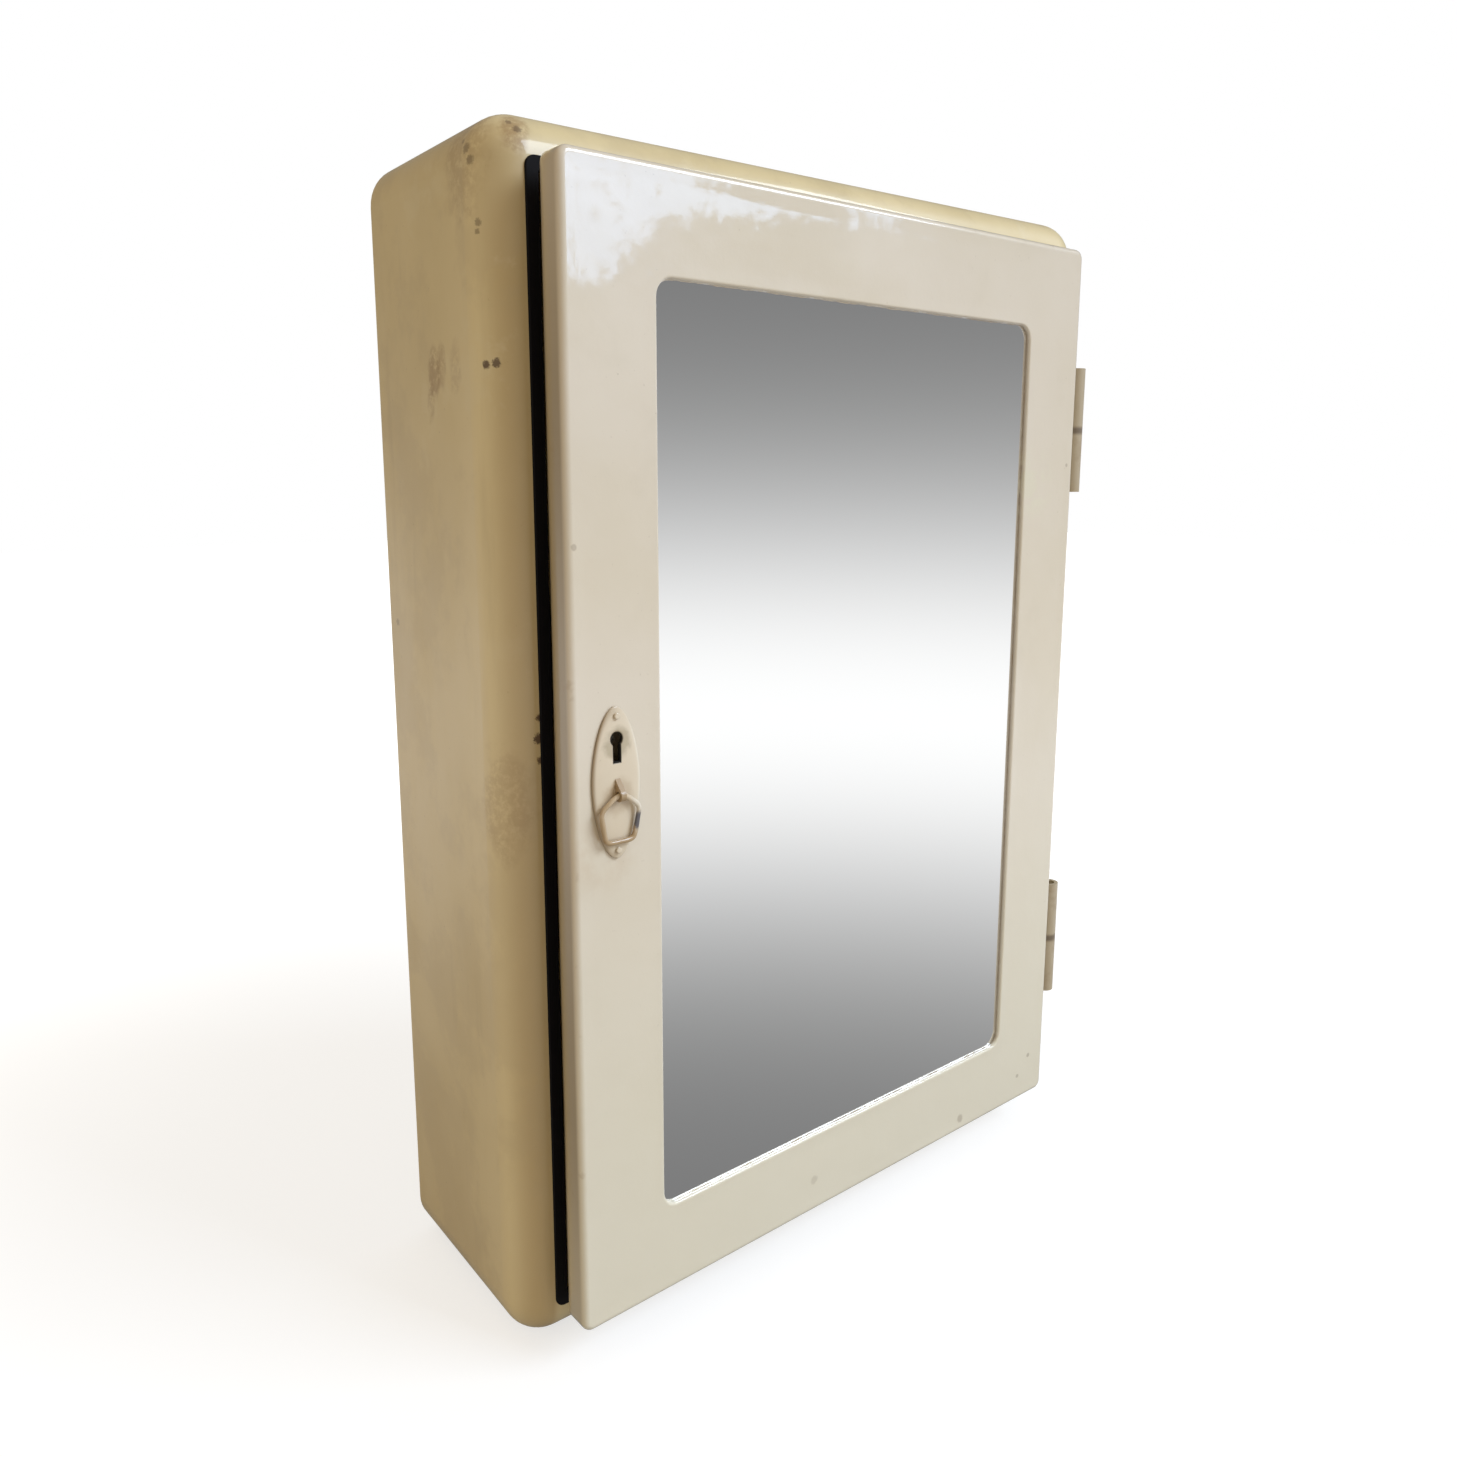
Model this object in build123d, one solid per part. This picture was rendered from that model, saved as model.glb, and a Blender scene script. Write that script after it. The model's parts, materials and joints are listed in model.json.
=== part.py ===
from build123d import *
from math import cos, pi, sin
import os

# A wall cabinet for medicines in painted sheet steel, with a mirror in its door.
# Millimetres. X runs to the right, Y into the wall, Z up. The origin is the centre of
# the back face, midway between the four wall screws.

# Door: a pressed pan with a window for the mirror, and an inner pan behind it.
door_width = 304.0
door_height = 450.0
door_depth = 12.0
door_corner = 4.0
door_bend = 2.5
door_sheet = 1.0

# Window of the door and the mirror behind it.
window_width = 222.5
window_height = 371.5
window_corner = 7.0
window_roll = 3.5
window_depth = 4.5
mirror_lap = 7.0
mirror_corner = 2.5
glass_thickness = 3.0
backing_thickness = 2.0

# Case: a folded shell whose front edges are rolled to a quarter round.
case_depth = 103.0
case_sheet = 1.2
case_margin = 16.0
case_corner = 18.0
roll_radius = 16.0
lip_width = 4.0
outline_clearance = 0.5
back_sheet = 1.0
back_flange = 14.0
back_inset = 1.5

# Rubber edging pushed over the lip of the case.
edging_wall = 1.0
edging_gap = 0.3

# Wall screws.
wall_hole_radius = 3.0
wall_hole_spacing_x = 260.0
wall_hole_spacing_z = 400.0

# Shelves and the angle brackets under their ends.
shelf_heights = (-78.0, 82.0)
shelf_sheet = 1.0
shelf_side_gap = 0.6
shelf_back_gap = 0.5
shelf_front_setback = 15.0
shelf_front_fold = 12.0
shelf_back_fold = 9.0
shelf_bend = 0.9
bracket_leg = 12.0
bracket_sheet = 1.5
bracket_length = 62.0
bracket_bend = 0.9

# Lift-off hinges. The pin stands in the case's knuckle and the door's knuckle drops over it.
pin_radius = 3.0
pin_fit = 0.02
running_fit = 0.05
knuckle_wall = 1.9
leaf_sheet = 1.9
knuckle_height = 31.0
knuckle_setback = 5.2
hinge_clearance = 0.5
hinge_inset = 87.5
pin_crown = 1.8
washer_thickness = 0.6
pin_recess = 2.0
door_leaf_margin = 0.6
case_leaf_side = 16.0

# The door is stored a little way open, as it hangs by itself.
ajar_angle = 1.6

# Escutcheon, keyhole and drop ring, measured from the door's lock edge and its middle.
plate_from_edge = 19.0
plate_height = 59.0
plate_width = 24.0
plate_thickness = 1.6
plate_centre_z = 1.0
keyhole_radius = 2.7
keyhole_slot = 3.2
keyhole_drop = 8.7
key_z = 18.2
rivet_radius = 1.3
rivet_head = 0.7
rivet_from_tip = 3.5
rivet_tail = 0.8
rivet_shank = 0.8
rivet_dome = 0.55
plate_edge = 1.1
eye_drop = 4.0
eye_thickness = 2.2
eye_radius = 2.5
eye_standoff = 1.9
eye_fin = 6.0
eye_shank_radius = 1.5
eye_tail_radius = 2.7
ring_wire = 1.1
ring_width = 20.0
ring_foot = 15.0
ring_shoulder = 5.5
ring_drop = 20.5
ring_bend = 2.6
ring_play = 0.3
ring_ridge_gap = 0.6

# Lock on the inner pan.
lock_from_edge = 6.2
lock_width = 25.0
lock_depth = 10.0
lock_bottom = 1.0
lock_top = 37.0
lock_wall = 1.2
lock_ear = 9.0
lock_screw_radius = 1.5
lock_screw_head = 2.8
lock_screw_length = 5.0
lock_corner = 1.5
ear_corner = 3.0
bolt_height = 12.0
bolt_thickness = 4.0
bolt_z = 25.0
bolt_setback = 4.0
bolt_length = 20.5
bolt_throw = 7.5
bolt_fit = 0.3
bolt_nose = 0.8
slot_from_end = 3.5
notch_width = 6.0
notch_depth = 3.0
stump_radius = 1.6
stump_overhang = 1.0
key_passage = 7.0
spring_thickness = 0.5
spring_end_gap = 0.2

# Posts and screws that hold the inner pan, and the clips that hold the mirror.
pan_nest = 0.2
inner_fold = 6.0
post_inset = 20.0
post_radius = 3.2
post_gap = 0.4
cover_screw_radius = 1.6
cover_screw_head = 3.0
cover_screw_length = 7.0
post_bore = 8.0
screw_clearance = 0.1
hole_clearance = 0.2
screw_slot = 0.7
clip_width = 12.0
clip_sheet = 0.8
clip_reach = 6.0
clip_foot = 9.0
clip_gap = 0.6

# How far a cutting solid runs past what it cuts.
past = 1.0

# Places that follow from the sizes above.
case_width = door_width + 2 * (outline_clearance + case_margin)
case_height = door_height + 2 * (outline_clearance + case_margin)
shell_back = -back_sheet
case_front = -case_depth
opening_width = door_width + 2 * (outline_clearance - lip_width)
opening_height = door_height + 2 * (outline_clearance - lip_width)
opening_corner = max(door_corner + outline_clearance - lip_width, 1.0)
door_back = case_front - edging_wall - edging_gap
door_front = door_back - door_depth
lock_edge = -door_width / 2
hinge_joints = (hinge_inset - door_height / 2, door_height / 2 - hinge_inset)
knuckle_radius = pin_radius + running_fit + knuckle_wall
axis_x = door_width / 2 + hinge_clearance + knuckle_radius
axis_y = door_front + knuckle_setback
glass_width = window_width + 2 * mirror_lap
glass_height = window_height + 2 * mirror_lap
glass_front = door_front + window_depth
glass_back = glass_front + glass_thickness
backing_back = glass_back + backing_thickness
inner_front = door_back - door_sheet
key_x = lock_edge + plate_from_edge
ring_y = door_front - plate_thickness - eye_standoff
eye_z = plate_centre_z - eye_drop
lock_left = lock_edge + lock_from_edge
lock_back = door_back + lock_depth
bolt_front = door_back + bolt_setback
bolt_tip = lock_left + bolt_fit


def facing(x, y, z):
    """Plane at a point that looks out of the front of the cabinet."""
    return Plane((x, y, z), x_dir=(1, 0, 0), z_dir=(0, -1, 0))


def slab(width, height, corner, front, back, x=0.0, z=0.0):
    """Rounded rectangle seen from the front, as thick as the way from front to back."""
    outline = RectangleRounded(width, height, corner) if corner > 0 else Rectangle(width, height)
    return extrude(facing(x, back, z) * outline, amount=back - front)


def block(x0, x1, y0, y1, z0, z1):
    """Box between two corners."""
    centre = Pos((x0 + x1) / 2, (y0 + y1) / 2, (z0 + z1) / 2)
    return centre * Box(x1 - x0, y1 - y0, z1 - z0)


def drum(radius, front, back, x, z):
    """Round bar along Y."""
    return extrude(facing(x, back, z) * Circle(radius), amount=back - front)


def upright(radius, bottom, top, x, y):
    """Round bar along Z."""
    return Pos(x, y, bottom) * extrude(Circle(radius), amount=top - bottom)


def rounded_front(solid, radius):
    """Fillets the outline of the front face."""
    return fillet(solid.faces().sort_by(Axis.Y)[0].edges(), radius)


def hang(shape):
    """Turns a piece of the closed door about the hinge pins to where the door hangs."""
    axis = Pos(axis_x, axis_y, 0)
    return axis * Rot(0, 0, ajar_angle) * axis.inverse() * shape


def keyhole(front, back):
    """Round head with a slot below it, cut from front to back."""
    head = drum(keyhole_radius, front, back, key_x, key_z)
    half = keyhole_slot / 2
    return head + block(key_x - half, key_x + half, front, back, key_z - keyhole_drop, key_z)


def case_shell():
    """Folded shell with a rolled front, an open lip and a flange round the back."""
    outer = slab(case_width, case_height, case_corner, case_front, shell_back)
    outer = rounded_front(outer, roll_radius)
    inside_width = case_width - 2 * case_sheet
    inside_height = case_height - 2 * case_sheet
    inner = slab(inside_width, inside_height, case_corner - case_sheet,
                 case_front + case_sheet, shell_back - case_sheet)
    inner = rounded_front(inner, roll_radius - case_sheet)
    opening = slab(opening_width, opening_height, opening_corner,
                   case_front - past, case_front + case_sheet + past)
    rear = slab(inside_width - 2 * back_flange, inside_height - 2 * back_flange, case_corner,
                shell_back - case_sheet - past, shell_back + past)
    return outer - inner - opening - rear


def wall_points():
    """Centres of the four wall screws."""
    return [(side * wall_hole_spacing_x / 2, level * wall_hole_spacing_z / 2)
            for side in (-1, 1) for level in (-1, 1)]


def back_panel():
    """Flat sheet welded to the back flange, with four holes for the wall screws."""
    panel = slab(case_width - 2 * back_inset, case_height - 2 * back_inset,
                 case_corner - back_inset, shell_back, 0)
    for x, z in wall_points():
        panel -= drum(wall_hole_radius, shell_back - past, past, x, z)
    return panel


def edging():
    """Channel of black rubber that grips the lip: two legs and a web round its edge."""
    rim_width = opening_width + 2 * lip_width
    rim_height = opening_height + 2 * lip_width
    front = case_front - edging_wall
    back = case_front + case_sheet + edging_wall
    body = slab(rim_width, rim_height, door_corner, front, back)
    hole = slab(opening_width - 2 * edging_wall, opening_height - 2 * edging_wall,
                max(opening_corner - edging_wall, edging_wall / 2), front - past, back + past)
    lip = slab(rim_width + past, rim_height + past, door_corner, case_front, case_front + case_sheet)
    lip -= slab(opening_width, opening_height, opening_corner, front, back)
    ring = rounded_front(body, edging_wall / 2) - hole - lip
    return ring


def shelf(height):
    """Sheet with its front edge folded down and its back edge folded up."""
    half = case_width / 2 - case_sheet - shelf_side_gap
    front = case_front + shelf_front_setback
    back = shell_back - case_sheet - shelf_back_gap
    top = height + shelf_sheet
    profile = Polyline((front, height - shelf_front_fold), (front, top), (back - shelf_sheet, top),
                       (back - shelf_sheet, top + shelf_back_fold), (back, top + shelf_back_fold),
                       (back, height), (front + shelf_sheet, height),
                       (front + shelf_sheet, height - shelf_front_fold), close=True)
    section = Plane.YZ.offset(-half) * make_face(profile)
    tray = extrude(section, amount=2 * half)
    folds = tray.edges().filter_by(Axis.X)
    outer = [e for e in folds if abs(e.center().Z - top) < 0.01 and abs(e.center().Y - front) < 0.01]
    return fillet(outer, shelf_bend)


def shelf_brackets(height):
    """Two angles on the side walls: one leg on the wall, the other under the shelf."""
    wall = case_width / 2 - case_sheet
    back = shell_back - case_sheet - shelf_back_gap - shelf_sheet
    pair = []
    for side in (-1, 1):
        profile = Polyline((wall, height), (wall - bracket_leg, height),
                           (wall - bracket_leg, height - bracket_sheet),
                           (wall - bracket_sheet, height - bracket_sheet),
                           (wall - bracket_sheet, height - bracket_leg), (wall, height - bracket_leg),
                           close=True)
        angle = extrude(facing(0, back, 0) * make_face(profile), amount=bracket_length)
        inside = angle.edges().filter_by(Axis.Y).sort_by_distance((wall, back, height))[1:2]
        angle = fillet(inside, bracket_bend)
        pair.append(angle if side > 0 else mirror(angle, about=Plane.YZ))
    return Compound(children=pair)


def case_leaf(joint):
    """Lower knuckle and a strap that follows the rolled edge on to the side of the case."""
    roll_x = case_width / 2 - roll_radius
    roll_y = case_front + roll_radius
    outer = roll_radius + leaf_sheet
    neck_left = axis_x + knuckle_radius - leaf_sheet
    neck = Pos(neck_left, axis_y) * Rectangle(leaf_sheet, roll_y - axis_y, align=(Align.MIN, Align.MIN))
    quarter = Pos(neck_left, roll_y) * Rectangle(outer, outer, align=(Align.MIN, Align.MAX))
    bend = (Pos(roll_x, roll_y) * Circle(outer)) & quarter
    side = Rectangle(leaf_sheet, case_leaf_side, align=(Align.MIN, Align.MIN))
    knuckle = Pos(axis_x, axis_y) * Circle(knuckle_radius)
    shape = knuckle + neck + bend + Pos(case_width / 2, roll_y) * side - Pos(roll_x, roll_y) * Circle(roll_radius)
    shape -= Pos(axis_x, axis_y) * Circle(pin_radius + pin_fit)
    return extrude(Pos(0, 0, joint - knuckle_height) * shape, amount=knuckle_height)


def door_leaf(joint):
    """Upper knuckle, which rests on the washer, and a strap that lies on the door's flange."""
    foot = joint + washer_thickness
    strap = hinge_clearance + knuckle_wall
    length = door_back - door_leaf_margin - axis_y
    plate = Pos(door_width / 2, axis_y) * Rectangle(strap, length, align=(Align.MIN, Align.MIN))
    shape = Pos(axis_x, axis_y) * Circle(knuckle_radius) + plate
    shape -= Pos(axis_x, axis_y) * Circle(pin_radius + running_fit)
    return hang(extrude(Pos(0, 0, foot) * shape, amount=joint + knuckle_height - foot))


def hinge_pin(joint):
    """Plain pin, rounded at the top so that the door drops on easily."""
    pin = upright(pin_radius, joint - knuckle_height, joint + knuckle_height - pin_recess, axis_x, axis_y)
    return fillet(pin.faces().sort_by(Axis.Z)[-1].edges(), pin_crown)


def hinge_washer(joint):
    """Thin ring between the knuckles."""
    top = joint + washer_thickness
    disc = upright(knuckle_radius, joint, top, axis_x, axis_y)
    return disc - upright(pin_radius + running_fit, joint - past, top + past, axis_x, axis_y)


def window_rim(solid):
    """Edges of the window in the front face of the door."""
    edges = solid.faces().sort_by(Axis.Y)[0].edges()
    return [e for e in edges if abs(e.center().X) < glass_width / 2 and abs(e.center().Z) < glass_height / 2]


def door_pan():
    """Pressed outer pan: face, flange all round, and a window whose edge rolls inwards."""
    outer = rounded_front(slab(door_width, door_height, door_corner, door_front, door_back), door_bend)
    hole = slab(window_width, window_height, window_corner, door_front - past, door_back + past)
    outer = fillet(window_rim(outer - hole), window_roll)
    bend = max(door_bend - door_sheet, 0.3)
    inner = slab(door_width - 2 * door_sheet, door_height - 2 * door_sheet, door_corner - door_sheet,
                 door_front + door_sheet, door_back + past)
    inner = rounded_front(inner, bend)
    collar = slab(window_width + 2 * door_sheet, window_height + 2 * door_sheet,
                  window_corner + door_sheet, door_front, door_back + past)
    inner = fillet(window_rim(inner - collar), window_roll - door_sheet)
    pan = outer - inner
    pan -= slab(glass_width, glass_height, window_corner, glass_front, door_back + past)
    back = door_front + door_sheet + past
    pan -= keyhole(door_front - past, back)
    pan -= drum(eye_shank_radius, door_front - past, back, key_x, eye_z + eye_fin / 2)
    for z in rivet_levels():
        pan -= drum(rivet_shank, door_front - past, back, key_x, z)
    return hang(pan)


def post_points():
    """Places of the posts: four corners and the middle of both rails, clear of the glass."""
    x = door_width / 2 - post_inset
    z = max(door_height / 2 - post_inset, glass_height / 2 + post_gap + post_radius)
    return [(side * x, level * z) for level in (-1, 1) for side in (-1, 0, 1)]


def inner_pan():
    """Inner sheet of the door. Its fold nests in the flange of the outer pan."""
    nest = door_sheet + pan_nest
    width = door_width - 2 * nest
    height = door_height - 2 * nest
    front = inner_front - inner_fold
    pan = slab(width, height, door_corner - nest, front, door_back)
    pan -= slab(width - 2 * door_sheet, height - 2 * door_sheet, door_corner - nest - door_sheet,
                front - past, inner_front)
    pan -= drum(key_passage, inner_front - past, door_back + past, key_x, key_z - keyhole_drop / 3)
    for x, z in post_points():
        pan -= drum(cover_screw_radius + hole_clearance, inner_front - past, door_back + past, x, z)
    for z in lock_screw_levels():
        pan -= drum(lock_screw_radius + screw_clearance, inner_front - past, door_back + past,
                    lock_left + lock_width / 2, z)
    return hang(pan)


def panel_posts():
    """Tapped posts welded to the back of the door's face."""
    posts = []
    for x, z in post_points():
        post = drum(post_radius, door_front + door_sheet, inner_front, x, z)
        posts.append(post - drum(cover_screw_radius + screw_clearance, inner_front - post_bore,
                                 inner_front + past, x, z))
    return hang(Compound(children=posts))


def panel_screws():
    """Round-headed screws through the inner pan into the posts."""
    screws = [screw(x, z, door_back, cover_screw_head, cover_screw_radius, cover_screw_length)
              for x, z in post_points()]
    return hang(Compound(children=screws))


def screw(x, z, seat, head, shank, length):
    """Screw with a low round head and a slot, driven forwards from its seat."""
    height = head / 2
    cap = drum(head, seat, seat + height, x, z)
    cap = fillet(cap.faces().sort_by(Axis.Y)[-1].edges(), height * 0.8)
    slot = block(x - head, x + head, seat + height / 2, seat + height + past,
                 z - screw_slot / 2, z + screw_slot / 2)
    return cap - slot + drum(shank, seat - length, seat, x, z)


def mirror_glass():
    """Silvered sheet behind the window."""
    return hang(slab(glass_width, glass_height, mirror_corner, glass_front, glass_back))


def mirror_backing():
    """Hardboard between the glass and the clips."""
    return hang(slab(glass_width, glass_height, mirror_corner, glass_back, backing_back))


def mirror_clips():
    """Eight spring clips: a foot on the door's face, a riser, and a tongue on the backing."""
    side = glass_width / 2
    rail = glass_height / 2
    stile_room = door_width / 2 - door_bend - side - clip_gap
    rail_room = door_height / 2 - door_bend - rail - clip_gap
    spread = 2 / 3
    clips = []
    for end in (-1, 1):
        for hand in (-1, 1):
            clips.append(mirror_clip(hand * side, end * rail * spread, (-hand, 0, 0), stile_room))
            clips.append(mirror_clip(hand * side * spread, end * rail, (0, 0, -end), rail_room))
    return hang(Compound(children=clips))


def mirror_clip(x, z, inward, room):
    """Folded strip at the edge of the glass, its tongue pointing inwards, its foot in the room outside."""
    face = door_front + door_sheet
    riser = -clip_gap
    toe = riser - min(clip_foot, room)
    lying = Plane((x, 0, z), x_dir=inward, z_dir=Vector(inward).cross(Vector(0, 1, 0)))
    profile = Polyline((riser, face), (toe, face), (toe, face + clip_sheet),
                       (riser - clip_sheet, face + clip_sheet),
                       (riser - clip_sheet, backing_back + clip_sheet),
                       (clip_reach, backing_back + clip_sheet), (clip_reach, backing_back),
                       (riser, backing_back), close=True)
    return extrude(lying * make_face(profile), amount=clip_width / 2, both=True)


def rivet_levels():
    """Heights of the two rivets of the escutcheon."""
    reach = plate_height / 2 - rivet_from_tip
    return plate_centre_z - reach, plate_centre_z + reach


def escutcheon():
    """Oval plate with soft edges, pierced for the key, the eye and two rivets."""
    outline = Ellipse(plate_width / 2, plate_height / 2)
    plate = extrude(facing(key_x, door_front, plate_centre_z) * outline, amount=plate_thickness)
    plate = fillet(plate.faces().sort_by(Axis.Y)[0].edges(), plate_edge)
    front = door_front - plate_thickness - past
    plate -= keyhole(front, door_front + past)
    plate -= drum(eye_shank_radius, front, door_front + past, key_x, eye_z + eye_fin / 2)
    for z in rivet_levels():
        plate -= drum(rivet_shank, front, door_front + past, key_x, z)
    return hang(plate)


def escutcheon_rivets():
    """Two rivets with low domed heads, set through the plate and the door's face."""
    seat = door_front - plate_thickness
    back = door_front + door_sheet
    rivets = []
    for z in rivet_levels():
        head = drum(rivet_radius, seat - rivet_head, seat, key_x, z)
        head = fillet(head.faces().sort_by(Axis.Y)[0].edges(), rivet_dome)
        tail = drum(rivet_radius, back, back + rivet_tail, key_x, z)
        rivets.append(head + drum(rivet_shank, seat, back, key_x, z) + tail)
    return hang(Compound(children=rivets))


def ring_eye():
    """Lug that carries the ring, with a fin above it and a shank riveted over behind the face."""
    seat = door_front - plate_thickness
    back = door_front + door_sheet
    side = Plane.YZ.offset(key_x - eye_thickness / 2)
    fin = Polyline((seat, eye_z - eye_radius), (seat, eye_z + eye_fin),
                   (ring_y - eye_radius * cos(pi / 4), eye_z + eye_radius * sin(pi / 4)),
                   (ring_y, eye_z - eye_radius), close=True)
    outline = Pos(ring_y, eye_z) * Circle(eye_radius) + make_face(fin)
    outline -= Pos(seat, eye_z) * Rectangle(eye_radius, 3 * eye_radius, align=(Align.MIN, Align.CENTER))
    outline -= Pos(ring_y, eye_z) * Circle(ring_wire + ring_play)
    lug = extrude(side * outline, amount=eye_thickness)
    shank_z = eye_z + eye_fin / 2
    lug += drum(eye_shank_radius, seat, back, key_x, shank_z)
    lug += drum(eye_tail_radius, back, back + rivet_tail, key_x, shank_z)
    return hang(lug)


def pull_ring():
    """Bail of round wire, shaped like a shield: a short ridge, two slopes, and sides that close in."""
    ridge = eye_thickness / 2 + ring_ridge_gap
    shoulder = ring_width / 2 - ring_wire
    foot = ring_foot / 2 - ring_wire
    low = -(ring_drop - 2 * ring_wire)
    corners = [(ridge, 0), (shoulder, -ring_shoulder), (foot, low),
               (-foot, low), (-shoulder, -ring_shoulder), (-ridge, 0)]
    path = facing(key_x, ring_y, eye_z) * FilletPolyline(*corners, radius=ring_bend, close=True)
    start = Plane(origin=path @ 0, z_dir=path % 0)
    return hang(sweep(start * Circle(ring_wire), path=path))


def lock_screw_levels():
    """Heights of the two screws of the lock, in its ears."""
    return lock_bottom - lock_ear / 2, lock_top + lock_ear / 2


def lock_case():
    """Pressed box with two ears, open towards the inner pan, with a slot for the bolt."""
    cover_back = door_back + lock_wall
    right = lock_left + lock_width
    box = block(lock_left, right, cover_back, lock_back, lock_bottom, lock_top)
    box = fillet(box.faces().sort_by(Axis.Y)[-1].edges(), lock_corner)
    ears = block(lock_left, right, cover_back, cover_back + lock_wall,
                 lock_bottom - lock_ear, lock_top + lock_ear)
    box += fillet(ears.edges().filter_by(Axis.Y), ear_corner)
    box -= block(lock_left + lock_wall, right - lock_wall, cover_back - past, lock_back - lock_wall,
                 lock_bottom + lock_wall, lock_top - lock_wall)
    low = bolt_z - bolt_height / 2 - bolt_fit
    high = bolt_z + bolt_height / 2 + bolt_fit
    box -= block(lock_left - past, lock_left + lock_wall + past, bolt_front - bolt_fit,
                 bolt_front + bolt_thickness + bolt_fit, low, high)
    for z in lock_screw_levels():
        box -= drum(lock_screw_radius + screw_clearance, door_back, lock_back, lock_left + lock_width / 2, z)
    box += drum(stump_radius, bolt_front - stump_overhang, lock_back - lock_wall, stump_x(), bolt_z)
    return hang(box)


def stump_x():
    """Place of the guide stump, at the front end of the bolt's slot when it is drawn back."""
    return bolt_tip + bolt_length - bolt_throw - slot_from_end


def lock_cover():
    """Flat plate between the lock and the inner pan, pierced for the key."""
    plate = block(lock_left, lock_left + lock_width, door_back, door_back + lock_wall,
                  lock_bottom - lock_ear, lock_top + lock_ear)
    plate = fillet(plate.edges().filter_by(Axis.Y), ear_corner)
    plate -= keyhole(door_back - past, door_back + lock_wall + past)
    for z in lock_screw_levels():
        plate -= drum(lock_screw_radius + screw_clearance, door_back - past, lock_back,
                      lock_left + lock_width / 2, z)
    return hang(plate)


def lock_screws():
    """Two screws through the ears of the lock into the inner pan."""
    seat = door_back + 2 * lock_wall
    x = lock_left + lock_width / 2
    screws = [screw(x, z, seat, lock_screw_head, lock_screw_radius, lock_screw_length)
              for z in lock_screw_levels()]
    return hang(Compound(children=screws))


def lock_bolt():
    """Flat bolt with a rounded nose, a slot for its stump and a notch that the key catches."""
    low = bolt_z - bolt_height / 2
    high = bolt_z + bolt_height / 2
    back = bolt_front + bolt_thickness
    bolt = block(bolt_tip, bolt_tip + bolt_length, bolt_front, back, low, high)
    nose = bolt.edges().filter_by(Axis.Z).sort_by(Axis.X)[:2]
    bolt = fillet(nose, bolt_nose)
    slot = stump_radius + bolt_fit
    bolt -= block(stump_x(), stump_x() + bolt_throw, bolt_front - past, back + past,
                  bolt_z - slot, bolt_z + slot)
    for x in (stump_x(), stump_x() + bolt_throw):
        bolt -= drum(slot, bolt_front - past, back + past, x, bolt_z)
    bolt -= block(key_x - notch_width / 2, key_x + notch_width / 2, bolt_front - past, back + past,
                  low - past, low + notch_depth)
    return hang(bolt)


def lock_spring():
    """Bowed leaf spring between the roof of the lock and the top of the bolt."""
    land = bolt_z + bolt_height / 2 + bolt_fit
    roof = lock_top - lock_wall
    right = lock_left + lock_width - lock_wall - spring_end_gap
    left = lock_left + lock_wall + spring_end_gap
    middle = (left + right) / 2
    lower = ThreePointArc((left, roof - spring_thickness), (middle, land), (right, roof - spring_thickness))
    upper = ThreePointArc((left, roof), (middle, land + spring_thickness), (right, roof))
    outline = make_face([lower, Line(lower @ 1, upper @ 1), upper, Line(upper @ 0, lower @ 0)])
    leaf = extrude(facing(0, bolt_front + bolt_thickness, 0) * outline, amount=bolt_thickness)
    return hang(leaf)


nodes = {
    "case_shell": case_shell(),
    "back_panel": back_panel(),
    "door_edging": edging(),
    "lower_shelf": shelf(shelf_heights[0]),
    "upper_shelf": shelf(shelf_heights[1]),
    "lower_shelf_brackets": shelf_brackets(shelf_heights[0]),
    "upper_shelf_brackets": shelf_brackets(shelf_heights[1]),
    "door_pan": door_pan(),
    "door_inner_pan": inner_pan(),
    "inner_pan_posts": panel_posts(),
    "inner_pan_screws": panel_screws(),
    "mirror_glass": mirror_glass(),
    "mirror_backing": mirror_backing(),
    "mirror_clips": mirror_clips(),
    "escutcheon": escutcheon(),
    "escutcheon_rivets": escutcheon_rivets(),
    "ring_eye": ring_eye(),
    "pull_ring": pull_ring(),
    "lock_case": lock_case(),
    "lock_cover": lock_cover(),
    "lock_screws": lock_screws(),
    "lock_bolt": lock_bolt(),
    "lock_spring": lock_spring(),
}
for name, joint in zip(("lower", "upper"), hinge_joints):
    nodes[f"{name}_hinge_case_leaf"] = case_leaf(joint)
    nodes[f"{name}_hinge_door_leaf"] = door_leaf(joint)
    nodes[f"{name}_hinge_pin"] = hinge_pin(joint)
    nodes[f"{name}_hinge_washer"] = hinge_washer(joint)

os.makedirs("parts", exist_ok=True)
for name, shape in nodes.items():
    export_step(shape, f"parts/{name}.step")
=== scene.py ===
# %% [markdown]
# This lesson dresses a steel medicine cabinet that CAD has already shaped: a case with
# rolled edges, and a door that holds a mirror and hangs a little way open. The frame
# loads every solid in its place, so Blender's work is the paint, the glass, the wear,
# a few pieces that CAD draws too plainly, and the light of a quiet studio.

# %% Load the frame
import bpy
import json
import numpy as np
from math import cos, pi, radians, sin
from mathutils import Matrix, Vector


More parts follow.
